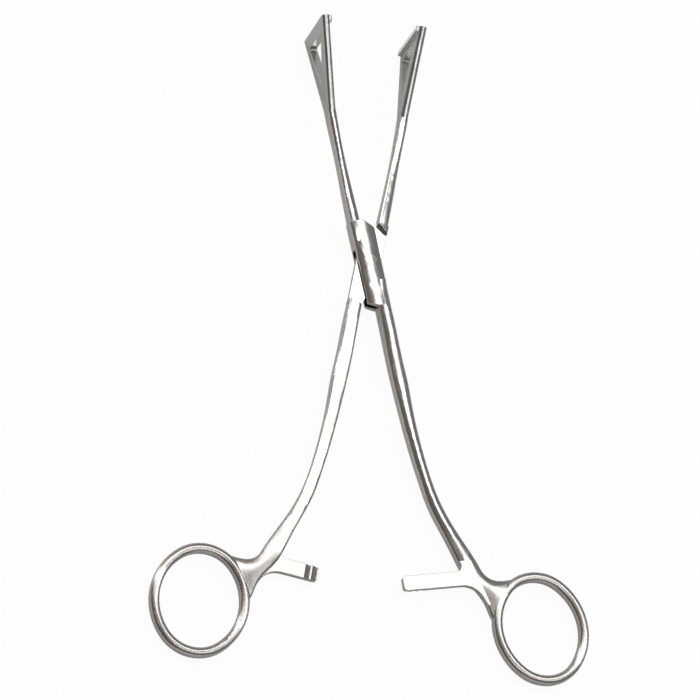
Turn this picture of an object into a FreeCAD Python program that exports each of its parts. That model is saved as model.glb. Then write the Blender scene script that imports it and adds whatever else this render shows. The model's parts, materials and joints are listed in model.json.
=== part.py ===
import FreeCAD, Part
import math
import os
import Sketcher
from FreeCAD import Placement, Rotation, Vector

# Lung grasping forceps with a box lock. Every size is in millimetres.
# Both arms are drawn in the closed position: X is across, Y runs from the lock pin to the jaws and Z is the
# thickness. The box arm has its finger ring on +X and its jaw on -X. The tongue arm is its mirror image in X.

doc = FreeCAD.newDocument("LungGraspingForceps")
sheet = doc.addObject("Spreadsheet::Sheet", "Sizes")

SIZES = {
    # whole instrument
    "half_opening": 10.0,
    "jaw_reach": 74.0,
    "meeting_gap": 0.05,
    # triangular jaw
    "jaw_width": 19.4,
    "jaw_foot_width": 4.6,
    "jaw_plate": 2.3,
    "jaw_round": 0.6,
    "lip_height": 0.8,
    "lip_length": 1.5,
    "window_width": 11.6,
    "window_length": 15.0,
    "window_margin": 3.9,
    "window_round": 0.7,
    "serration_pitch": 0.8,
    "serration_count": 23,
    "serration_depth": 0.28,
    "serration_width": 0.62,
    # box lock
    "lock_depth": 5.5,
    "lock_crown": 0.75,
    "lock_corner": 0.7,
    "lock_spare": 1.0,
    "box_strong_side": 3.9,
    "box_cheek_side": 3.3,
    "box_lip_side": 2.9,
    "cheek_crown": 12.4,
    "cheek_corner": 9.9,
    "lip_crown": 13.8,
    "lip_corner": 12.8,
    "side_opening": 3.0,
    "side_gap": 0.4,
    "lock_margin": 6.0,
    "tongue_depth": 2.0,
    "tongue_gap": 0.1,
    "shoulder_gap": 0.15,
    "pin_diameter": 3.2,
    "pin_running_gap": 0.04,
    # finger ring
    "ring_offset": 30.2,
    "ring_reach": 112.2,
    "ring_half_width": 12.7,
    "ring_half_length": 15.05,
    "ring_end_radius": 11.0,
    "ring_band": 2.7,
    "ring_depth": 3.3,
    "ring_corner": 0.9,
    # ratchet bars
    "bar_rise": 18.3,
    "bar_width": 4.2,
    "head_inset": 19.5,
    "head_height": 2.9,
    "head_lean": 1.2,
    "head_fillet": 1.6,
    "head_root": 17.2,
    "foot_inset": 17.3,
    "foot_height": 6.4,
    "foot_lean": 2.8,
    "foot_fillet": 6.0,
    "foot_root": 13.7,
    "box_bar_reach": 8.0,
    "tongue_bar_reach": 1.4,
    "bar_depth": 1.7,
    "bar_gap": 0.06,
    "bar_round": 1.0,
    "tooth_pitch": 2.0,
    "tooth_depth": 0.75,
    "tooth_land": 0.45,
    "box_tooth_count": 3,
    "tongue_tooth_count": 2,
    # shank sections, and how far a cutting outline starts outside the face it cuts
    "section_crown": 0.5,
    "cut_start": 0.1,
}

# Stations along each arm: distance across, distance along, turn of the section, width, depth, corner radius.
JAW_SHANK = {
    "lock_top": (-1.9, 6.0, 0.0, 3.1, 5.3, 0.8),
    "shank_root": (-2.2, 15.0, 0.0, 2.9, 4.7, 0.8),
    "shank_slim": (-2.5, 27.0, 0.0, 2.5, 4.0, 0.7),
    "shank_rise": (-2.7, 38.0, 0.0, 2.4, 4.1, 0.7),
    "jaw_neck": (-2.75, 47.0, 2.0, 2.5, 4.8, 0.7),
    "jaw_seat": (-2.6, 52.0, 2.3, 2.1, 4.4, 0.6),
}
RING_SHANK = {
    "lock_low": (2.1, -6.0, 0.0, 3.5, 5.3, 0.8),
    "lock_foot": (2.03, -17.0, 0.0, 3.85, 5.1, 0.8),
    "upper": (2.15, -25.0, 1.0, 4.1, 4.6, 0.8),
    "crown": (2.3, -32.0, 2.0, 4.3, 4.2, 0.75),
    "middle": (2.62, -41.0, 2.5, 4.15, 4.0, 0.7),
    "lower": (2.93, -50.0, 3.5, 3.6, 3.9, 0.7),
    "waist": (3.62, -59.0, 6.0, 3.35, 3.8, 0.7),
    "bend": (4.72, -68.0, 10.0, 3.25, 3.7, 0.65),
    "sweep": (6.6, -76.5, 16.0, 3.55, 3.6, 0.65),
    "handle": (9.3, -84.0, 22.0, 3.95, 3.6, 0.65),
    "wrist": (11.75, -90.6, 26.0, 5.0, 3.6, 0.7),
}
# The last stations are placed from the centre of the finger ring.
RING_ROOT = {
    "neck": (-15.5, 15.2, 38.0, 4.9, 3.5, 0.7),
    "flare": (-12.8, 12.4, 44.0, 7.0, 3.4, 0.75),
    "web": (-9.9, 10.3, 46.0, 12.6, 3.1, 0.75),
    "web_end": (-7.5, 8.1, 46.0, 15.0, 3.0, 0.7),
}
STATION_SIZES = ("across", "along", "turn", "wide", "deep", "corner")
for stations in (JAW_SHANK, RING_SHANK, RING_ROOT):
    for place, values in stations.items():
        SIZES.update({f"{place}_{name}": value for name, value in zip(STATION_SIZES, values)})

for row, (alias, value) in enumerate(SIZES.items(), start=1):
    sheet.set(f"A{row}", alias)
    sheet.set(f"B{row}", str(value))
    sheet.setAlias(f"B{row}", alias)
doc.recompute()


class Measure:
    """A number together with the sheet formula that gives it."""

    def __init__(self, number, formula):
        self.number = number
        self.formula = formula

    @staticmethod
    def of(other):
        return other if isinstance(other, Measure) else Measure(float(other), str(other))

    def __add__(self, other):
        other = Measure.of(other)
        return Measure(self.number + other.number, f"({self.formula} + {other.formula})")

    def __sub__(self, other):
        other = Measure.of(other)
        return Measure(self.number - other.number, f"({self.formula} - {other.formula})")

    def __mul__(self, other):
        other = Measure.of(other)
        return Measure(self.number * other.number, f"({self.formula} * {other.formula})")

    def __truediv__(self, other):
        other = Measure.of(other)
        return Measure(self.number / other.number, f"({self.formula} / {other.formula})")

    def __neg__(self):
        return Measure(-self.number, f"(0 - {self.formula})")

    __radd__ = __add__
    __rmul__ = __mul__


def size(alias):
    """One driving dimension of the sheet."""
    return Measure(float(sheet.get(alias)), f"Sizes.{alias}")


def bind(target, path, measure):
    """Ties a property or a named constraint to the sheet."""
    target.setExpression(path, Measure.of(measure).formula)


def plane_of(body, role):
    return next(feature for feature in body.Origin.OriginFeatures if feature.Role == role)


def sketch_on(body, name, role, base=(0, 0, 0), turn=None):
    """A sketch on one of the body's origin planes, moved and turned about its own upright axis by sheet values."""
    sketch = body.newObject("Sketcher::SketchObject", name)
    sketch.AttachmentSupport = [(plane_of(body, role), "")]
    sketch.MapMode = "FlatFace"
    base = [Measure.of(part) for part in base]
    turn = Measure.of(0 if turn is None else turn)
    spin = Rotation(Vector(0, 1, 0), turn.number if abs(turn.number) > 1e-9 else 1e-9)
    sketch.AttachmentOffset = Placement(Vector(*[part.number for part in base]), spin)
    for axis, part in zip("xyz", base):
        if part.number:
            bind(sketch, f".AttachmentOffset.Base.{axis}", part)
    if turn.number:
        bind(sketch, ".AttachmentOffset.Rotation.Angle", turn)
    return sketch


def pin_point(sketch, geometry, end, across, along):
    """Fixes one sketch point by its two distances from the sketch's origin."""
    for kind, measure in (("DistanceX", across), ("DistanceY", along)):
        measure = Measure.of(measure)
        number = sketch.addConstraint(Sketcher.Constraint(kind, -1, 1, geometry, end, measure.number))
        sketch.renameConstraint(number, f"{kind}_{geometry}_{end}")
        bind(sketch, f"Constraints.{kind}_{geometry}_{end}", measure)


def bind_limit(sketch, name, constraint, measure):
    """Adds one named constraint and ties it to the sheet."""
    sketch.renameConstraint(sketch.addConstraint(constraint), name)
    bind(sketch, f"Constraints.{name}", measure)


def corner_arc(before, corner, after, radius):
    """The arc that rounds one corner: whether it turns left, its arc, and where it leaves both edges."""
    arriving = (corner - before).normalize()
    leaving = (after - corner).normalize()
    bend = math.atan2(arriving.cross(leaving).z, arriving.dot(leaving))
    reach = radius * math.tan(abs(bend) / 2)
    first, last = corner - arriving * reach, corner + leaving * reach
    left = bend > 0
    side = Vector(-arriving.y, arriving.x, 0) * (radius if left else -radius)
    circle_of_corner = Part.Circle(first + side, Vector(0, 0, 1), radius)
    start, end = (first, last) if left else (last, first)
    arc = Part.ArcOfCircle(circle_of_corner, circle_of_corner.parameter(start), circle_of_corner.parameter(end))
    return left, arc, first, last


def polygon(sketch, corners):
    """A closed outline of straight edges. A corner with a third measure is rounded to that radius."""
    points = [tuple(Measure.of(part) for part in corner) for corner in corners]
    spots = [Vector(point[0].number, point[1].number, 0) for point in points]
    count = len(points)
    rounds = {
        i: corner_arc(spots[i - 1], spots[i], spots[(i + 1) % count], point[2].number)
        for i, point in enumerate(points) if len(point) == 3
    }
    starts = [rounds[i][3] if i in rounds else spots[i] for i in range(count)]
    ends = [rounds[i][2] if i in rounds else spots[i] for i in range(count)]
    edges = [sketch.addGeometry(Part.LineSegment(starts[i], ends[(i + 1) % count])) for i in range(count)]
    for i, point in enumerate(points):
        if i not in rounds:
            sketch.addConstraint(Sketcher.Constraint("Coincident", edges[i - 1], 2, edges[i], 1))
            pin_point(sketch, edges[i], 1, *point)
            continue
        left, shape, _, _ = rounds[i]
        arc = sketch.addGeometry(shape)
        mark = sketch.addGeometry(Part.Point(spots[i]), True)
        sketch.addConstraint(Sketcher.Constraint("Tangent", edges[i - 1], 2, arc, 1 if left else 2))
        sketch.addConstraint(Sketcher.Constraint("Tangent", arc, 2 if left else 1, edges[i], 1))
        sketch.addConstraint(Sketcher.Constraint("PointOnObject", mark, 1, edges[i - 1]))
        sketch.addConstraint(Sketcher.Constraint("PointOnObject", mark, 1, edges[i]))
        pin_point(sketch, mark, 1, *point[:2])
        bind_limit(sketch, f"Radius_{arc}", Sketcher.Constraint("Radius", arc, point[2].number), point[2])
    return sketch


def circle(sketch, across, along, radius):
    across, along, radius = Measure.of(across), Measure.of(along), Measure.of(radius)
    ring = sketch.addGeometry(Part.Circle(Vector(across.number, along.number, 0), Vector(0, 0, 1), radius.number))
    pin_point(sketch, ring, 3, across, along)
    bind_limit(sketch, f"Radius_{ring}", Sketcher.Constraint("Radius", ring, radius.number), radius)
    return sketch


def arc_about(sketch, across, along, radius, start, end):
    """An arc of a circle between two angles in radians."""
    whole = Part.Circle(Vector(across, along, 0), Vector(0, 0, 1), radius)
    return sketch.addGeometry(Part.ArcOfCircle(whole, start, end))


def oval(sketch, across, along, half_width, half_length, end_radius):
    """An oval of tangent arcs that starts at its low point: two flat sides between two tighter ends."""
    across, along = Measure.of(across), Measure.of(along)
    offset = half_length - end_radius
    square = half_width * half_width + half_length * half_length
    side_radius = (square - half_length * end_radius * 2) / ((half_width - end_radius) * 2)
    x, y, tight = across.number, along.number, end_radius.number
    flat = side_radius.number
    inward = flat - half_width.number
    joint = math.atan2(offset.number, inward)
    arcs = [
        arc_about(sketch, x, y - offset.number, tight, -math.pi / 2, -joint),
        arc_about(sketch, x - inward, y, flat, -joint, joint),
        arc_about(sketch, x, y + offset.number, tight, joint, math.pi - joint),
        arc_about(sketch, x + inward, y, flat, math.pi - joint, math.pi + joint),
        arc_about(sketch, x, y - offset.number, tight, math.pi + joint, math.pi * 3 / 2),
    ]
    for before, after in zip(arcs, arcs[1:] + arcs[:1]):
        sketch.addConstraint(Sketcher.Constraint("Tangent", before, 2, after, 1))
    for arc, radius in zip(arcs, (end_radius, side_radius, end_radius, side_radius, end_radius)):
        bind_limit(sketch, f"Radius_{arc}", Sketcher.Constraint("Radius", arc, radius.number), radius)
    pin_point(sketch, arcs[0], 3, across, along - offset)
    pin_point(sketch, arcs[2], 3, across, along + offset)
    bind_limit(sketch, "LowPoint", Sketcher.Constraint("DistanceX", -1, 1, arcs[0], 1, x), across)
    return sketch


def crowned_section(sketch, wide, deep, corner, crown):
    """A section about the sketch's origin with straight sides, rounded corners and a crowned front and back."""
    wide, deep, corner, crown = (Measure.of(part) for part in (wide, deep, corner, crown))
    crown_radius = wide * wide / (crown * 8) + crown / 2
    centre = deep / 2 - crown_radius
    x, r, big = wide.number / 2, corner.number, crown_radius.number
    rise = math.sqrt((big - r) ** 2 - (x - r) ** 2)
    y = centre.number + rise
    edge = math.atan2(rise, x - r)
    half = math.pi
    parts = [
        sketch.addGeometry(Part.LineSegment(Vector(x, -y, 0), Vector(x, y, 0))),
        arc_about(sketch, x - r, y, r, 0, edge),
        arc_about(sketch, 0, centre.number, big, edge, half - edge),
        arc_about(sketch, r - x, y, r, half - edge, half),
        sketch.addGeometry(Part.LineSegment(Vector(-x, y, 0), Vector(-x, -y, 0))),
        arc_about(sketch, r - x, -y, r, half, half + edge),
        arc_about(sketch, 0, -centre.number, big, half + edge, half * 2 - edge),
        arc_about(sketch, x - r, -y, r, half * 2 - edge, half * 2),
    ]
    right, first_corner, front, second_corner, left, third_corner, back, fourth_corner = parts
    for before, after in zip(parts, parts[1:] + parts[:1]):
        sketch.addConstraint(Sketcher.Constraint("Tangent", before, 2, after, 1))
    for other in (second_corner, third_corner, fourth_corner):
        sketch.addConstraint(Sketcher.Constraint("Equal", first_corner, other))
    for side in (right, left):
        sketch.addConstraint(Sketcher.Constraint("Vertical", side))
    bind_limit(sketch, "Corner", Sketcher.Constraint("Radius", first_corner, r), corner)
    bind_limit(sketch, "Right", Sketcher.Constraint("DistanceX", -1, 1, right, 1, x), wide / 2)
    bind_limit(sketch, "Left", Sketcher.Constraint("DistanceX", left, 1, -1, 1, x), wide / 2)
    for face, middle in ((front, centre), (back, -centre)):
        bind_limit(sketch, f"Crown_{face}", Sketcher.Constraint("Radius", face, big), crown_radius)
        pin_point(sketch, face, 3, 0, middle)
    return sketch


def pad(body, name, sketch, length, symmetric=False, reverse=False, kind="PartDesign::Pad"):
    """A pad or pocket of a sketch whose length is bound to the sheet."""
    feature = body.newObject(kind, name)
    feature.Profile = sketch
    feature.SideType = "Symmetric" if symmetric else "One side"
    feature.Reversed = reverse
    feature.Length = Measure.of(length).number
    bind(feature, "Length", length)
    sketch.Visibility = False
    doc.recompute()
    return feature


def pocket(body, name, sketch, length, symmetric=False, reverse=False):
    """A pocket that has to take material away."""
    before = body.Shape.Volume
    feature = pad(body, name, sketch, length, symmetric, reverse, "PartDesign::Pocket")
    if not feature.Shape.Volume < before - 1e-6:
        raise RuntimeError(f"{feature.Name} takes nothing away")
    return feature


def pattern(body, name, original, direction, spacing, count, reverse=False):
    """Copies of one feature in a row."""
    row = body.newObject("PartDesign::LinearPattern", name)
    row.Originals = [original]
    row.Direction = direction
    row.Reversed = reverse
    row.Length = spacing.number * (count.number - 1)
    row.Occurrences = int(count.number)
    bind(row, "Length", spacing * (count - 1))
    bind(row, "Occurrences", count)
    body.Tip = row
    doc.recompute()
    return row


def loft(body, name, stations):
    """A loft through crowned sections: across, along, turn, width, depth, corner radius and crown of each."""
    sections = []
    for place, (across, along, turn, wide, deep, corner, crown) in stations.items():
        sketch = sketch_on(body, f"{body.Name}_{place}", "XZ_Plane", (across, 0, -along), turn)
        crowned_section(sketch, wide, deep, corner, crown)
        sketch.Visibility = False
        sections.append(sketch)
    feature = body.newObject("PartDesign::AdditiveLoft", f"{body.Name}_{name}")
    feature.Profile = sections[0]
    feature.Sections = sections[1:]
    doc.recompute()


def lock_forging(body, hand):
    """The crowned block of the lock, with some spare length at both ends."""
    strong, cheek, lip = size("box_strong_side"), size("box_cheek_side"), size("box_lip_side")
    head, heel = size("cheek_crown") + size("lock_spare"), -size("lip_crown") - size("lock_spare")
    shape = (size("lock_depth"), size("lock_corner"), size("lock_crown"))
    loft(body, "lock_block", {
        "lock_head": ((cheek - strong) / 2 * hand, head, 0, strong + cheek, *shape),
        "lock_heel": ((strong - lip) / 2 * hand, heel, 0, strong + lip, *shape),
    })


class Arm:
    """One arm of the forceps, forged in one piece: finger ring, ratchet bar, shank, lock and jaw."""

    def __init__(self, name, hand):
        self.hand = hand
        self.body = doc.addObject("PartDesign::Body", name)
        self.body.Label = name

    def build(self):
        lock_forging(self.body, self.hand)
        self.lock_ends()
        self.shank("ring_shank", RING_SHANK, RING_ROOT)
        self.finger_ring()
        self.ratchet_bar()
        self.shank("jaw_shank", JAW_SHANK)
        self.jaw()
        self.lock_fit()
        return self.body

    def lock_lines(self):
        """The top and low limits of the lock's opening and the slopes of its cheek, lip and side walls."""
        top = size("cheek_crown") + size("shoulder_gap")
        low = -size("lip_crown") - size("shoulder_gap")
        strong = size("box_strong_side")
        cheek_slope = (size("cheek_crown") - size("cheek_corner")) / size("box_cheek_side")
        lip_slope = (size("lip_crown") - size("lip_corner")) / size("box_lip_side")
        head_wall = (top - size("side_opening")) / strong
        heel_wall = (-low - size("side_opening")) / strong
        return top, low, cheek_slope, lip_slope, head_wall, heel_wall

    def lock_ends(self):
        """The end cuts: slanted for the cheek and lip of the box, steep for the tongue beside its side walls."""
        top, low, cheek_slope, lip_slope, head_wall, heel_wall = self.lock_lines()
        if self.hand > 0:
            head, heel = size("cheek_crown"), -size("lip_crown")
            head_slope, heel_slope = cheek_slope, lip_slope
        else:
            head, heel = top - size("side_gap"), low + size("side_gap")
            head_slope, heel_slope = head_wall, heel_wall
        margin = size("lock_margin")
        sketch = sketch_on(self.body, f"{self.body.Name}_lock_ends_outline", "XY_Plane")
        for end, slope, side in ((head, -head_slope, self.hand), (heel, heel_slope, -self.hand)):
            beyond = end - slope / abs(slope.number) * margin
            polygon(sketch, [
                (0, end),
                (margin * side, end + slope * margin),
                (margin * side, beyond),
                (-margin * side, beyond),
                (-margin * side, end),
            ])
        pocket(self.body, f"{self.body.Name}_lock_ends", sketch, size("lock_depth") * 2, symmetric=True)

    def shank(self, name, stations, ring_stations=None):
        """A shank lofted through its stations, the last of them placed from the ring's centre."""
        sections = {}
        for place in stations:
            sections[place] = self.station(place, 0, 0)
        for place in ring_stations or {}:
            sections[place] = self.station(place, size("ring_offset"), -size("ring_reach"))
        loft(self.body, name, sections)

    def station(self, place, across, along):
        """The measures of one station, placed from a point of the arm."""
        return (
            (size(f"{place}_across") + across) * self.hand,
            size(f"{place}_along") + along,
            size(f"{place}_turn") * self.hand,
            size(f"{place}_wide"),
            size(f"{place}_deep"),
            size(f"{place}_corner"),
            size("section_crown"),
        )

    def finger_ring(self):
        """The oval ring: the web is opened to the middle of the band, and the band is swept round it."""
        form = (
            size("ring_offset") * self.hand, -size("ring_reach"),
            size("ring_half_width"), size("ring_half_length"), size("ring_end_radius"),
        )
        opening = sketch_on(self.body, f"{self.body.Name}_ring_opening", "XY_Plane")
        oval(opening, *form)
        pocket(self.body, f"{self.body.Name}_ring_cut", opening, size("ring_depth") * 2, symmetric=True)
        path = sketch_on(self.body, f"{self.body.Name}_ring_path", "XY_Plane")
        oval(path, *form)
        section = sketch_on(self.body, f"{self.body.Name}_ring_section", "YZ_Plane", (
            -size("ring_reach") - size("ring_half_length"), 0, size("ring_offset") * self.hand))
        crowned_section(
            section, size("ring_band"), size("ring_depth"), size("ring_corner"), size("section_crown"))
        sweep = self.body.newObject("PartDesign::AdditivePipe", f"{self.body.Name}_ring_band")
        sweep.Profile = section
        sweep.Spine = (path, [f"Edge{i}" for i in range(1, len(path.Shape.Edges) + 1)])
        path.Visibility = section.Visibility = False
        doc.recompute()

    def ratchet_bar(self):
        """The flat bar that crosses to the other arm, with saw teeth on its inner face."""
        box = self.hand > 0
        reach = size("box_bar_reach" if box else "tongue_bar_reach")
        count = size("box_tooth_count" if box else "tongue_tooth_count")
        layer = size("bar_gap") * self.hand
        outline = sketch_on(self.body, f"{self.body.Name}_bar_outline", "XY_Plane", (0, 0, layer))
        head = -size("ring_reach") + size("bar_rise")
        foot = head - size("bar_width")
        centre = size("ring_offset")
        head_corner = centre - size("head_inset")
        foot_corner = centre - size("foot_inset")
        above, below = head + size("head_height"), foot - size("foot_height")
        corners = [
            (-reach, head, size("bar_round")),
            (head_corner, head, size("head_fillet")),
            (head_corner - size("head_lean"), above),
            (centre - size("head_root"), above),
            (centre - size("foot_root"), below),
            (foot_corner + size("foot_lean"), below),
            (foot_corner, foot, size("foot_fillet")),
            (-reach, foot, size("bar_round")),
        ]
        polygon(outline, [(across * self.hand, *rest) for across, *rest in corners])
        pad(self.body, f"{self.body.Name}_ratchet_bar", outline, size("bar_depth"), reverse=not box)
        tooth = sketch_on(self.body, f"{self.body.Name}_tooth_outline", "XZ_Plane", (0, 0, -foot))
        steep = (size("tooth_land") - reach) * self.hand
        flat_end = steep + (size("tooth_pitch") - size("tooth_land")) * self.hand
        polygon(tooth, [
            (steep, layer - size("cut_start") * self.hand),
            (steep, layer + size("tooth_depth") * self.hand),
            (flat_end, layer),
            (flat_end, layer - size("cut_start") * self.hand),
        ])
        cut = pocket(self.body, f"{self.body.Name}_tooth_cut", tooth, size("bar_width"))
        pattern(
            self.body, f"{self.body.Name}_teeth", cut, (tooth, ["H_Axis"]), size("tooth_pitch"), count,
            reverse=not box,
        )

    def jaw(self):
        """The open triangular plate with its raised, serrated gripping edge."""
        name = self.body.Name
        thick = size("jaw_plate")
        face = size("meeting_gap") + size("lip_height") + thick / 2
        neck_across, neck_along = size("jaw_neck_across"), size("jaw_neck_along")
        length = size("jaw_reach") - neck_along
        turn = Measure(
            math.degrees(math.atan((-neck_across - face).number / length.number)),
            f"atan({(-neck_across - face).formula} / {length.formula})",
        )
        base = (neck_along, 0, neck_across * self.hand)
        turn = turn * -self.hand

        form = (size("jaw_round"), size("section_crown"))
        loft(self.body, "jaw_plate", {
            "plate_foot": (neck_across * self.hand, neck_along, 0, thick, size("jaw_foot_width"), *form),
            "plate_end": (-face * self.hand, size("jaw_reach"), 0, thick, size("jaw_width"), *form),
        })

        lip = sketch_on(self.body, f"{name}_lip_outline", "YZ_Plane", base, turn)
        slope = (size("jaw_width") - size("jaw_foot_width")) / 2 / length
        end_half = size("jaw_width") / 2 - size("section_crown")
        inner_half = end_half - slope * size("lip_length")
        polygon(lip, [
            (length - size("lip_length"), -inner_half),
            (length, -end_half),
            (length, end_half),
            (length - size("lip_length"), inner_half),
        ])
        pad(self.body, f"{name}_lip", lip, thick / 2 + size("lip_height"), reverse=self.hand < 0)

        window = sketch_on(self.body, f"{name}_window_outline", "YZ_Plane", base, turn)
        top = length - size("window_margin")
        polygon(window, [
            (top, -size("window_width") / 2, size("window_round")),
            (top, size("window_width") / 2, size("window_round")),
            (top - size("window_length"), 0, size("window_round")),
        ])
        pocket(self.body, f"{name}_window", window, thick * 2, symmetric=True)

        over = size("cut_start")
        groove = sketch_on(self.body, f"{name}_groove_outline", "XZ_Plane", (0, 0, -size("jaw_reach") - over))
        row = size("serration_pitch") * (size("serration_count") - 1)
        surface = size("meeting_gap")
        polygon(groove, [
            ((over - surface) * self.hand, -row / 2 - size("serration_width") / 2),
            (-(surface + size("serration_depth")) * self.hand, -row / 2),
            ((over - surface) * self.hand, -row / 2 + size("serration_width") / 2),
        ])
        cut = pocket(self.body, f"{name}_groove", groove, size("lip_length") + over, reverse=True)
        pattern(
            self.body, f"{name}_serrations", cut, (groove, ["V_Axis"]), size("serration_pitch"),
            size("serration_count"),
        )

    def lock_fit(self):
        """The slot through the box, or the cheek rebates beside the tongue, and the hole for the pin."""
        name = self.body.Name
        margin = size("lock_margin")
        top, low, cheek_slope, lip_slope, head_wall, heel_wall = self.lock_lines()

        def opening(head_slope, heel_slope):
            """The outline between the shoulders, with the given slopes on the arm's strong sides."""
            return [
                (-margin * self.hand, top - head_slope * margin),
                (0, top),
                (margin * self.hand, top + cheek_slope * margin),
                (margin * self.hand, low + heel_slope * margin),
                (0, low),
                (-margin * self.hand, low - lip_slope * margin),
            ]

        if self.hand > 0:
            slot = polygon(sketch_on(self.body, f"{name}_slot_outline", "XY_Plane"), opening(head_wall, heel_wall))
            pocket(self.body, f"{name}_slot", slot, size("tongue_depth") + size("tongue_gap") * 2, symmetric=True)
            radius = size("pin_diameter") / 2
        else:
            depth = size("lock_depth")
            for side, level in (("front", depth), ("back", -depth)):
                outline = sketch_on(self.body, f"{name}_{side}_outline", "XY_Plane", (0, 0, level))
                polygon(outline, opening(cheek_slope, lip_slope))
                pocket(
                    self.body, f"{name}_{side}_rebate", outline, depth - size("tongue_depth") / 2,
                    reverse=side == "back",
                )
            radius = size("pin_diameter") / 2 + size("pin_running_gap")
        hole = circle(sketch_on(self.body, f"{name}_pin_hole_outline", "XY_Plane"), 0, 0, radius)
        pocket(self.body, f"{name}_pin_hole", hole, size("lock_depth") * 2, symmetric=True)


def lock_pin():
    """The pin, its ends ground flush with the crowned cheeks: the lock's form, cut round to the pin."""
    body = doc.addObject("PartDesign::Body", "lock_pin")
    body.Label = "lock_pin"
    lock_forging(body, 1)
    reach = size("cheek_crown") + size("lip_crown")
    outline = sketch_on(body, "pin_outline", "XY_Plane")
    polygon(outline, [(-reach, -reach), (reach, -reach), (reach, reach), (-reach, reach)])
    circle(outline, 0, 0, size("pin_diameter") / 2)
    pocket(body, "pin_shaft", outline, size("lock_depth") * 2, symmetric=True)
    return body


box_arm = Arm("box_arm", 1).build()
tongue_arm = Arm("tongue_arm", -1).build()
pin = lock_pin()
bodies = [box_arm, tongue_arm, pin]

# The open forceps lies on the far corners of its jaws and on its rings, so it tilts about X.
opening = size("half_opening").number
lean = math.radians(opening)
jaw_along = size("jaw_reach").number * math.cos(lean)
ring_along = (
    size("ring_reach").number * math.cos(lean)
    + size("ring_offset").number * math.sin(lean)
    + size("ring_half_length").number
)
drop = (size("jaw_width").number - size("ring_depth").number) / 2
tilt = math.degrees(math.atan2(drop, jaw_along + ring_along))
lying = Rotation(Vector(1, 0, 0), tilt)


def put_down(shift):
    """Places every sub-part in its resting pose, moved by one common shift."""
    for body, turn in ((box_arm, opening), (tongue_arm, -opening), (pin, opening)):
        body.Placement = Placement(shift, lying * Rotation(Vector(0, 0, 1), turn))


put_down(Vector(0, 0, 0))
doc.recompute()
bounds = FreeCAD.BoundBox()
for body in bodies:
    bounds.add(body.Shape.optimalBoundingBox(False, False))
put_down(Vector(-bounds.Center.x, -bounds.Center.y, -bounds.ZMin))
doc.recompute()

for item in doc.Objects:
    if {"Invalid", "Error"} & set(item.State):
        raise RuntimeError(f"{item.Name} failed: {item.State}")
for body in bodies:
    if body.Shape.isNull() or not body.Shape.isValid() or len(body.Shape.Solids) != 1:
        raise RuntimeError(f"{body.Label} is not one valid solid")

os.makedirs("parts", exist_ok=True)
for body in bodies:
    body.Shape.exportStep(f"parts/{body.Label}.step")
    print(body.Label, round(body.Shape.Volume, 2), body.Shape.BoundBox)
print("pivot", pin.Placement.Base, "axis", lying.multVec(Vector(0, 0, 1)), "tilt", round(tilt, 4))
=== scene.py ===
"""Lung grasping forceps lying open on a pale table: finishes, studio and camera."""

import json
import logging
import math
from dataclasses import dataclass, field
from enum import Enum

import bpy
from mathutils import Matrix, Vector

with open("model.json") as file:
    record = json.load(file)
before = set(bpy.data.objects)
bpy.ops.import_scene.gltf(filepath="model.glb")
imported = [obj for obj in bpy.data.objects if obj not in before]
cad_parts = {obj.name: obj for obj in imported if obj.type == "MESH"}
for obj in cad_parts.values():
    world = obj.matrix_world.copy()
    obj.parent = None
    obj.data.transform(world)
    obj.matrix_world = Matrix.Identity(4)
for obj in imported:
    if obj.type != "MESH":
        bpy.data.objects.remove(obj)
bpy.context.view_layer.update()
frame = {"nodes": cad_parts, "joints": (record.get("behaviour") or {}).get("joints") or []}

MM = 0.001

logging.basicConfig(level=logging.INFO, format="%(message)s")
log = logging.getLogger("forceps")

Colour = tuple[float, float, float]
Socket = bpy.types.NodeSocket


class Side(Enum):
    """Which of the two mirrored arms a value is for, as the sign of its opening angle."""

    BOX = 1
    TONGUE = -1


class Zone(Enum):
    """Where one finish of an arm gives way to the next, as a distance along the arm from the lock pin."""

    JAW = 40 * MM
    HANDLE = -76 * MM


@dataclass(frozen=True)
class ArmFrame:
    """The position of one arm at rest: X is across the arm, Y runs to the jaw and Z is its thickness."""

    side: Side
    pivot: Vector
    tilt: float
    half_opening: float = math.radians(10)

    @property
    def matrix(self) -> Matrix:
        """The arm's rotation in the row frame."""
        lean = Matrix.Rotation(self.tilt, 3, "X")
        return lean @ Matrix.Rotation(self.half_opening * self.side.value, 3, "Z")


@dataclass(frozen=True)
class SteelFinish:
    """One way of finishing stainless steel; grain and cloud say how much the lines and patches show."""

    colour: Colour
    roughness: float
    grain: float
    cloud: float
    stain: Colour


MIRROR = SteelFinish(
    colour=(0.665, 0.64, 0.615), roughness=0.14, grain=0.12, cloud=0.06, stain=(0.52, 0.47, 0.42),
)
SATIN = SteelFinish(
    colour=(0.56, 0.535, 0.515), roughness=0.22, grain=0.22, cloud=0.10, stain=(0.47, 0.41, 0.36),
)
JAW_SATIN = SteelFinish(
    colour=(0.58, 0.585, 0.565), roughness=0.20, grain=0.17, cloud=0.10, stain=(0.44, 0.41, 0.36),
)


@dataclass(frozen=True)
class PolishingLines:
    """The fine lines of polishing: how many to the metre, how deep, and how much they dull the steel."""

    across: float = 2600.0
    along: float = 110.0
    depth: float = 0.003 * MM
    dulling: float = 0.35


@dataclass(frozen=True)
class WearAndEdgeHighlight:
    """Brighter edges, which are a painted highlight on every finish, and the duller buffing patches that
    handling leaves.
    """

    # The edge colour and share paint a highlight along every edge; the radius only rounds the normal.
    edge_highlight_colour: Colour = (0.74, 0.72, 0.70)
    edge_highlight_share: float = 0.5
    edge_radius: float = 0.25 * MM
    patch_dulling: float = 0.03


LINES = PolishingLines()
WEAR_AND_EDGE_HIGHLIGHT = WearAndEdgeHighlight()


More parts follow.
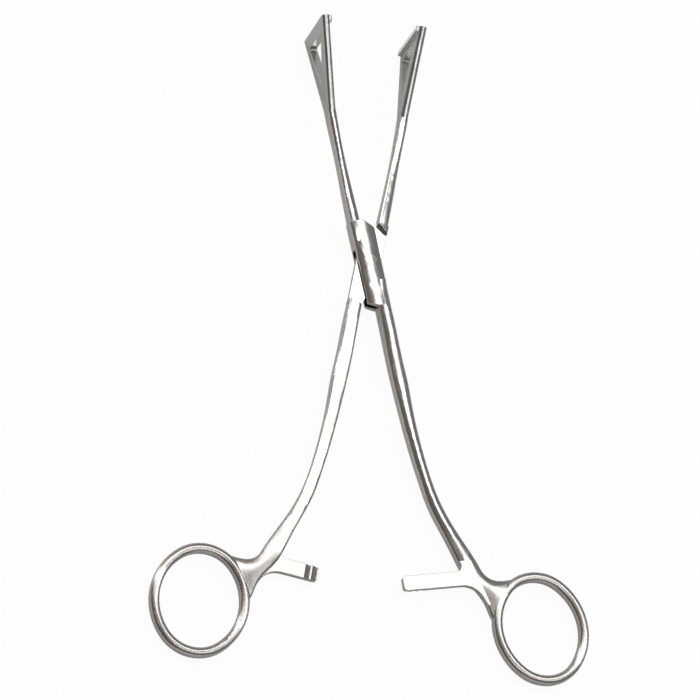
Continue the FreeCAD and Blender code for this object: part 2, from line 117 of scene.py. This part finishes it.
class NodeBuilder:
    """Adds nodes to one node tree, from left to right."""

    def __init__(self, tree: bpy.types.NodeTree) -> None:
        """Starts on a tree.

        Args:
            tree: The material's, world's or group's node tree.
        """
        self.tree = tree
        self.step = 0

    def add(self, kind: str, **settings: object) -> bpy.types.Node:
        """Adds one node.

        Args:
            kind: The node's class name.
            **settings: Properties to set on the node.

        Returns:
            The new node.
        """
        node = self.tree.nodes.new(kind)
        node.location = (180 * self.step, -40 * (self.step % 5))
        self.step += 1
        for name, value in settings.items():
            setattr(node, name, value)
        return node

    def feed(self, socket: Socket, value: object) -> None:
        """Links an output to a socket, or sets the socket's own value.

        Args:
            socket: The input socket.
            value: An output socket, or a number, colour or vector.
        """
        if isinstance(value, bpy.types.NodeSocket):
            self.tree.links.new(value, socket)
        else:
            socket.default_value = value

    def math(self, operation: str, first: object, second: object = 0.0, third: object = 0.0) -> Socket:
        """Works out one scalar.

        Args:
            operation: The Math node's operation.
            first: First operand, a number or a socket.
            second: Second operand.
            third: Third operand.

        Returns:
            The result's socket.
        """
        node = self.add("ShaderNodeMath", operation=operation)
        for socket, value in zip(node.inputs, (first, second, third)):
            self.feed(socket, value)
        return node.outputs[0]

    def mix_colour(self, factor: object, first: object, second: object) -> Socket:
        """Mixes two colours.

        Args:
            factor: Share of the second colour.
            first: First colour.
            second: Second colour.

        Returns:
            The mixed colour's socket.
        """
        node = self.add("ShaderNodeMix", data_type="RGBA")
        for name, value in (("Factor_Float", factor), ("A_Color", first), ("B_Color", second)):
            socket = next(item for item in node.inputs if item.identifier == name)
            if isinstance(value, tuple) and len(value) == 3:
                value = (*value, 1.0)
            self.feed(socket, value)
        return next(item for item in node.outputs if item.identifier == "Result_Color")

    def step_at(self, value: Socket, start: float, end: float) -> Socket:
        """A smooth rise from zero to one between two limits.

        Args:
            value: The socket to read.
            start: Where the rise starts.
            end: Where it ends.

        Returns:
            The result's socket.
        """
        node = self.add("ShaderNodeMapRange", interpolation_type="SMOOTHSTEP")
        for socket, number in zip(node.inputs, (value, start, end, 0.0, 1.0)):
            self.feed(socket, number)
        return node.outputs[0]


def new_group(name: str, inputs: dict[str, tuple[str, object]], outputs: dict[str, str]) -> tuple:
    """Makes an empty shader node group.

    Args:
        name: The group's name.
        inputs: Socket type and default by input name.
        outputs: Socket type by output name.

    Returns:
        The group, a builder for it, its input sockets and its output node's sockets.
    """
    group = bpy.data.node_groups.new(name, "ShaderNodeTree")
    for label, (kind, default) in inputs.items():
        socket = group.interface.new_socket(name=label, in_out="INPUT", socket_type=kind)
        if default is not None:
            socket.default_value = default
    for label, kind in outputs.items():
        group.interface.new_socket(name=label, in_out="OUTPUT", socket_type=kind)
    build = NodeBuilder(group)
    entry = build.add("NodeGroupInput")
    leave = build.add("NodeGroupOutput")
    return group, build, entry.outputs, leave.inputs


class SteelEffects:
    """The shader node groups that every steel of the forceps shares."""

    def __init__(self) -> None:
        """Builds the groups once."""
        self.grain = self.build_grain()
        self.cloud = self.build_cloud()
        self.edge_rounding_and_highlight = self.build_edge_rounding_and_highlight()

    @staticmethod
    def build_grain() -> bpy.types.NodeTree:
        """Fine polishing lines that run along one direction.

        Returns:
            The group, with a Height output around zero.
        """
        group, build, given, out = new_group(
            "polishing_lines",
            {"Vector": ("NodeSocketVector", None), "Across": ("NodeSocketFloat", 1.0),
             "Along": ("NodeSocketFloat", 1.0)},
            {"Height": "NodeSocketFloat"},
        )
        parts = build.add("ShaderNodeSeparateXYZ")
        build.feed(parts.inputs[0], given["Vector"])
        joined = build.add("ShaderNodeCombineXYZ")
        build.feed(joined.inputs[0], build.math("MULTIPLY", parts.outputs[0], given["Across"]))
        build.feed(joined.inputs[1], build.math("MULTIPLY", parts.outputs[1], given["Along"]))
        build.feed(joined.inputs[2], build.math("MULTIPLY", parts.outputs[2], given["Across"]))
        lines = build.add("ShaderNodeTexNoise")
        build.feed(lines.inputs["Vector"], joined.outputs[0])
        build.feed(lines.inputs["Scale"], 1.0)
        build.feed(lines.inputs["Detail"], 3.0)
        build.feed(lines.inputs["Roughness"], 0.65)
        build.feed(out["Height"], build.math("SUBTRACT", lines.outputs[0], 0.5))
        return group

    @staticmethod
    def build_cloud() -> bpy.types.NodeTree:
        """Broad uneven patches left by buffing, and the faint film of handling.

        Returns:
            The group, with a Mask output from zero to one.
        """
        group, build, given, out = new_group(
            "buffing_patches",
            {"Vector": ("NodeSocketVector", None), "Scale": ("NodeSocketFloat", 120.0)},
            {"Mask": "NodeSocketFloat"},
        )
        noise = build.add("ShaderNodeTexNoise")
        build.feed(noise.inputs["Vector"], given["Vector"])
        build.feed(noise.inputs["Scale"], given["Scale"])
        build.feed(noise.inputs["Detail"], 4.0)
        build.feed(out["Mask"], build.step_at(noise.outputs[0], 0.38, 0.68))
        return group

    @staticmethod
    def build_edge_rounding_and_highlight() -> bpy.types.NodeTree:
        """Edges: a normal that rounds them, and a mask that picks them out for the painted edge highlight.

        Returns:
            The group, with Normal and Mask outputs.
        """
        group, build, given, out = new_group(
            "rounded_edges_and_highlight",
            {"Radius": ("NodeSocketFloat", WEAR_AND_EDGE_HIGHLIGHT.edge_radius)},
            {"Normal": "NodeSocketVector", "Mask": "NodeSocketFloat"},
        )
        bevel = build.add("ShaderNodeBevel", samples=6)
        build.feed(bevel.inputs["Radius"], given["Radius"])
        place = build.add("ShaderNodeNewGeometry")
        product = build.add("ShaderNodeVectorMath", operation="DOT_PRODUCT")
        build.feed(product.inputs[0], bevel.outputs[0])
        build.feed(product.inputs[1], place.outputs["Normal"])
        build.feed(out["Normal"], bevel.outputs[0])
        # The mask marks the edges whose colour is lightened as a painted highlight.
        build.feed(out["Mask"], build.step_at(product.outputs["Value"], 0.995, 0.90))
        return group


class SteelMaterial:
    """A stainless steel that changes from one finish to another along its piece."""

    def __init__(self, name: str, effects: SteelEffects) -> None:
        """Makes the empty material.

        Args:
            name: The material's name.
            effects: The shared node groups.
        """
        self.effects = effects
        self.material = bpy.data.materials.new(name)
        self.material.use_nodes = True
        self.material.node_tree.nodes.clear()
        self.build = NodeBuilder(self.material.node_tree)

    def group(self, tree: bpy.types.NodeTree, **values: object) -> bpy.types.Node:
        """Places one shared group.

        Args:
            tree: The group's tree.
            **values: Values or sockets by input name.

        Returns:
            The group node.
        """
        node = self.build.add("ShaderNodeGroup", node_tree=tree)
        for name, value in values.items():
            self.build.feed(node.inputs[name], value)
        return node

    def coordinates(self, place: ArmFrame) -> Socket:
        """Turns the row frame's coordinates into those of one arm.

        Args:
            place: The arm's position.

        Returns:
            Coordinates in metres from the lock pin, with Y along the arm.
        """
        turned = self.build.add("ShaderNodeMapping", vector_type="TEXTURE")
        self.build.feed(turned.inputs["Vector"], self.build.add("ShaderNodeTexCoord").outputs["Object"])
        self.build.feed(turned.inputs["Location"], place.pivot)
        self.build.feed(turned.inputs["Rotation"], place.matrix.to_euler("XYZ"))
        return turned.outputs[0]

    def blend(self, finishes: list[SteelFinish], masks: list[Socket], field_name: str) -> object:
        """Runs one property of the finishes through their masks.

        Args:
            finishes: The first finish, then one for each mask.
            masks: Where each later finish takes over.
            field_name: The property of the finish.

        Returns:
            The property's socket, or its plain value where there is one finish.
        """
        result = getattr(finishes[0], field_name)
        for finish, mask in zip(finishes[1:], masks):
            value = getattr(finish, field_name)
            if isinstance(value, tuple):
                result = self.build.mix_colour(mask, result, value)
            else:
                node = self.build.add("ShaderNodeMix", data_type="FLOAT")
                sockets = (node.inputs[0], node.inputs[2], node.inputs[3])
                for socket, item in zip(sockets, (mask, result, value)):
                    self.build.feed(socket, item)
                result = node.outputs[0]
        return result

    def finish(self, place: Socket, finishes: list[SteelFinish], masks: list[Socket]) -> bpy.types.Material:
        """Completes the steel from its finishes.

        Args:
            place: Coordinates in metres whose Y runs with the polishing lines.
            finishes: The first finish, then one for each mask.
            masks: Where each later finish takes over.

        Returns:
            The material.
        """
        build = self.build
        lines = self.group(self.effects.grain, Vector=place, Across=LINES.across, Along=LINES.along)
        patches = self.group(self.effects.cloud, Vector=place)
        edges = self.group(self.effects.edge_rounding_and_highlight)

        stained = build.mix_colour(
            build.math("MULTIPLY", patches.outputs["Mask"], self.blend(finishes, masks, "cloud")),
            self.blend(finishes, masks, "colour"),
            self.blend(finishes, masks, "stain"),
        )
        # Painted highlight: the steel's colour is lightened towards a pale colour along its edges.
        edge_highlight_share = build.math("MULTIPLY", edges.outputs["Mask"], WEAR_AND_EDGE_HIGHLIGHT.edge_highlight_share)
        colour = build.mix_colour(edge_highlight_share, stained, WEAR_AND_EDGE_HIGHLIGHT.edge_highlight_colour)
        height = build.math("MULTIPLY", lines.outputs["Height"], self.blend(finishes, masks, "grain"))
        rough = build.math("MULTIPLY_ADD", height, LINES.dulling, self.blend(finishes, masks, "roughness"))
        rough = build.math("MULTIPLY_ADD", patches.outputs["Mask"], WEAR_AND_EDGE_HIGHLIGHT.patch_dulling, rough)

        bump = build.add("ShaderNodeBump")
        build.feed(bump.inputs["Strength"], 1.0)
        build.feed(bump.inputs["Distance"], LINES.depth)
        build.feed(bump.inputs["Height"], height)
        build.feed(bump.inputs["Normal"], edges.outputs["Normal"])

        shader = build.add("ShaderNodeBsdfPrincipled")
        build.feed(shader.inputs["Base Color"], colour)
        build.feed(shader.inputs["Metallic"], 1.0)
        build.feed(shader.inputs["Roughness"], rough)
        build.feed(shader.inputs["Normal"], bump.outputs[0])
        leave = build.add("ShaderNodeOutputMaterial")
        build.feed(leave.inputs["Surface"], shader.outputs[0])
        return self.material


def put_on(node: str, material: bpy.types.Material) -> None:
    """Gives a CAD node its material.

    Args:
        node: The node's name.
        material: The finished material.
    """
    frame["nodes"][node].material_slots[0].material = material
    log.info("dressed %s", node)


@dataclass
class Arm:
    """One forged arm: ring, ratchet bar, shank, half of the lock and jaw."""

    node: str
    place: ArmFrame
    blend_length: float = 14 * MM

    def dress(self, effects: SteelEffects) -> None:
        """Gives the arm its steel: satin jaw, mirror shank, satin handle and ring.

        Args:
            effects: The shared node groups.
        """
        steel = SteelMaterial(f"{self.node}_steel", effects)
        build = steel.build
        place = steel.coordinates(self.place)
        parts = build.add("ShaderNodeSeparateXYZ")
        build.feed(parts.inputs[0], place)
        along = parts.outputs[1]
        jaw = build.step_at(along, Zone.JAW.value, Zone.JAW.value + self.blend_length)
        handle = build.step_at(along, Zone.HANDLE.value, Zone.HANDLE.value - self.blend_length)
        put_on(self.node, steel.finish(place, [MIRROR, JAW_SATIN, SATIN], [jaw, handle]))


@dataclass
class LockPin:
    """The pin of the lock, ground flush."""

    node: str
    place: ArmFrame

    def dress(self, effects: SteelEffects) -> None:
        """Gives the pin the same bright polish as the lock around it.

        Args:
            effects: The shared node groups.
        """
        steel = SteelMaterial("lock_pin_steel", effects)
        put_on(self.node, steel.finish(steel.coordinates(self.place), [MIRROR], []))


@dataclass
class PhotoCamera:
    """The photograph's camera: a long lens that looks down on the instrument from its front left."""

    pivot: Vector
    azimuth: float = math.radians(-34.014)
    elevation: float = math.radians(60.961)
    roll: float = math.radians(36.398)
    distance: float = 1142.4 * MM
    focal_pixels: float = 4000.0
    image_pixels: float = 700.0
    pivot_pixel: tuple[float, float] = (367.9, 263.2)
    sensor: float = 36.0

    def place(self) -> bpy.types.Object:
        """Makes the scene's camera.

        Returns:
            The camera object.
        """
        back = Vector((
            math.sin(self.azimuth) * math.cos(self.elevation),
            -math.cos(self.azimuth) * math.cos(self.elevation),
            math.sin(self.elevation),
        ))
        level = Vector((math.cos(self.azimuth), math.sin(self.azimuth), 0))
        right = level * math.cos(self.roll) + back.cross(level) * math.sin(self.roll)
        up = back.cross(right)
        scale = self.distance / self.focal_pixels
        aside = (self.pivot_pixel[0] - self.image_pixels / 2) * scale
        above = (self.image_pixels / 2 - self.pivot_pixel[1]) * scale
        position = self.pivot + back * self.distance - right * aside - up * above
        data = bpy.data.cameras.new("photo_camera")
        data.sensor_width = self.sensor
        data.lens = self.focal_pixels / self.image_pixels * self.sensor
        data.clip_start = 0.01
        data.clip_end = 50
        camera = bpy.data.objects.new("photo_camera", data)
        camera.matrix_world = Matrix((right, up, back)).transposed().to_4x4()
        camera.matrix_world.translation = position
        bpy.context.scene.collection.objects.link(camera)
        bpy.context.scene.camera = camera
        return camera


@dataclass(frozen=True)
class SoftBox:
    """A flat glowing face that points at the instrument, with its width along a given direction."""

    name: str
    towards: tuple[float, float, float]
    distance: float
    width: float
    height: float
    glow: float
    along: tuple[float, float, float] = (1.0, 0.0, 0.0)
    colour: Colour = (1.0, 1.0, 1.0)

    def hang(self, target: Vector) -> None:
        """Makes the lamp.

        Args:
            target: The point it faces.
        """
        data = bpy.data.lights.new(self.name, "AREA")
        data.shape = "RECTANGLE"
        data.size = self.width
        data.size_y = self.height
        data.energy = self.glow * math.pi * self.width * self.height
        data.color = self.colour
        lamp = bpy.data.objects.new(self.name, data)
        direction = Vector(self.towards).normalized()
        across = Vector(self.along)
        across = (across - direction * direction.dot(across)).normalized()
        turned = Matrix((across, direction.cross(across), direction)).transposed()
        lamp.matrix_world = Matrix.Translation(target + direction * self.distance) @ turned.to_4x4()
        bpy.context.scene.collection.objects.link(lamp)


@dataclass
class Studio:
    """The pale table, the white surroundings and the lamps."""

    target: Vector
    table_size: float = 8.0
    table_colour: Colour = (0.86, 0.86, 0.86)
    table_glow: float = 1.067
    glow_seen: float = 0.88
    glow_in_steel: float = 0.14
    room_low: Colour = (0.13, 0.115, 0.105)
    room_high: Colour = (0.13, 0.12, 0.11)
    window_side: Colour = (0.20, 0.21, 0.225)
    end_walls: Colour = (0.60, 0.60, 0.61)
    lamps: tuple[SoftBox, ...] = field(default_factory=lambda: (
        SoftBox(
            "overhead_strip", towards=(0.21, 0.32, 0.92), distance=3.0, width=3.9, height=0.62,
            glow=3.0, along=(1.02, -0.37, -0.13),
        ),
        SoftBox(
            "top_card", towards=(0.22, -0.11, 0.96), distance=3.0, width=1.8, height=0.50,
            glow=2.0, along=(1.0, 0.05, 0.0),
        ),
        SoftBox(
            "left_strip", towards=(-0.98, 0.08, 0.10), distance=2.0, width=0.9, height=0.22,
            glow=1.5, along=(0.08, 1.0, 0.0), colour=(1.0, 0.92, 0.89),
        ),
        SoftBox(
            "falling_strip", towards=(-0.66, 0.64, 0.40), distance=3.0, width=2.9, height=0.62,
            glow=2.7, along=(-0.40, 0.144, -0.775),
        ),
    ))

    def table(self) -> None:
        """Makes the table: white to the eye, grey in the steel, and shaded by the instrument."""
        half = self.table_size / 2
        mesh = bpy.data.meshes.new("table")
        corners = [(-half, -half, 0), (half, -half, 0), (half, half, 0), (-half, half, 0)]
        mesh.from_pydata(corners, [], [(0, 1, 2, 3)])
        table = bpy.data.objects.new("table", mesh)
        bpy.context.scene.collection.objects.link(table)
        material = bpy.data.materials.new("table_white")
        material.use_nodes = True
        material.node_tree.nodes.clear()
        build = NodeBuilder(material.node_tree)
        rays = build.add("ShaderNodeLightPath")
        seen = build.math("MULTIPLY", rays.outputs["Is Camera Ray"], self.glow_seen)
        seen = build.math("MULTIPLY_ADD", rays.outputs["Is Glossy Ray"], self.glow_in_steel, seen)
        seen = build.math("MULTIPLY_ADD", rays.outputs["Is Transmission Ray"], self.glow_seen, seen)
        paint = build.add("ShaderNodeBsdfDiffuse")
        build.feed(paint.inputs["Color"], (*self.table_colour, 1.0))
        glow = build.add("ShaderNodeEmission")
        build.feed(glow.inputs["Strength"], self.table_glow)
        mixed = build.add("ShaderNodeMixShader")
        for socket, value in zip(mixed.inputs, (seen, paint.outputs[0], glow.outputs[0])):
            build.feed(socket, value)
        leave = build.add("ShaderNodeOutputMaterial")
        build.feed(leave.inputs["Surface"], mixed.outputs[0])
        mesh.materials.append(material)

    def surroundings(self) -> None:
        """Makes the world: white to the eye, and a dim room with a window side and pale ends to the rest."""
        world = bpy.data.worlds.new("studio")
        bpy.context.scene.world = world
        world.use_nodes = True
        world.node_tree.nodes.clear()
        build = NodeBuilder(world.node_tree)
        ray = build.add("ShaderNodeTexCoord")
        parts = build.add("ShaderNodeSeparateXYZ")
        build.feed(parts.inputs[0], ray.outputs["Generated"])
        height = build.step_at(parts.outputs[2], 0.05, 0.95)
        room = build.mix_colour(height, self.room_low, self.room_high)
        window = build.step_at(parts.outputs[0], 0.05, 0.55)
        room = build.mix_colour(window, room, self.window_side)
        walls = build.step_at(build.math("ABSOLUTE", parts.outputs[1]), 0.72, 0.95)
        room = build.mix_colour(walls, room, self.end_walls)
        rays = build.add("ShaderNodeLightPath")
        colour = build.mix_colour(rays.outputs["Is Camera Ray"], room, (1.0, 1.0, 1.0))
        sky = build.add("ShaderNodeBackground")
        build.feed(sky.inputs["Color"], colour)
        build.feed(sky.inputs["Strength"], 1.0)
        leave = build.add("ShaderNodeOutputWorld")
        build.feed(leave.inputs["Surface"], sky.outputs[0])

    def build(self) -> None:
        """Sets up everything around the instrument."""
        self.table()
        self.surroundings()
        for lamp in self.lamps:
            lamp.hang(self.target)
        bpy.context.scene.view_settings.view_transform = "Standard"


def main() -> None:
    """Dresses the instrument, then builds the studio and the camera."""
    hinge = frame["joints"][0]
    pivot = Vector(hinge["pos_m"])
    axis = Vector(hinge["axis"])
    tilt = math.atan2(-axis.y, axis.z)
    PhotoCamera(pivot).place()
    effects = SteelEffects()
    Arm("box_arm", ArmFrame(Side.BOX, pivot, tilt)).dress(effects)
    Arm("tongue_arm", ArmFrame(Side.TONGUE, pivot, tilt)).dress(effects)
    LockPin("lock_pin", ArmFrame(Side.BOX, pivot, tilt)).dress(effects)
    Studio(pivot).build()
    log.info("all pieces are in place")


if __name__ == "__main__":
    main()
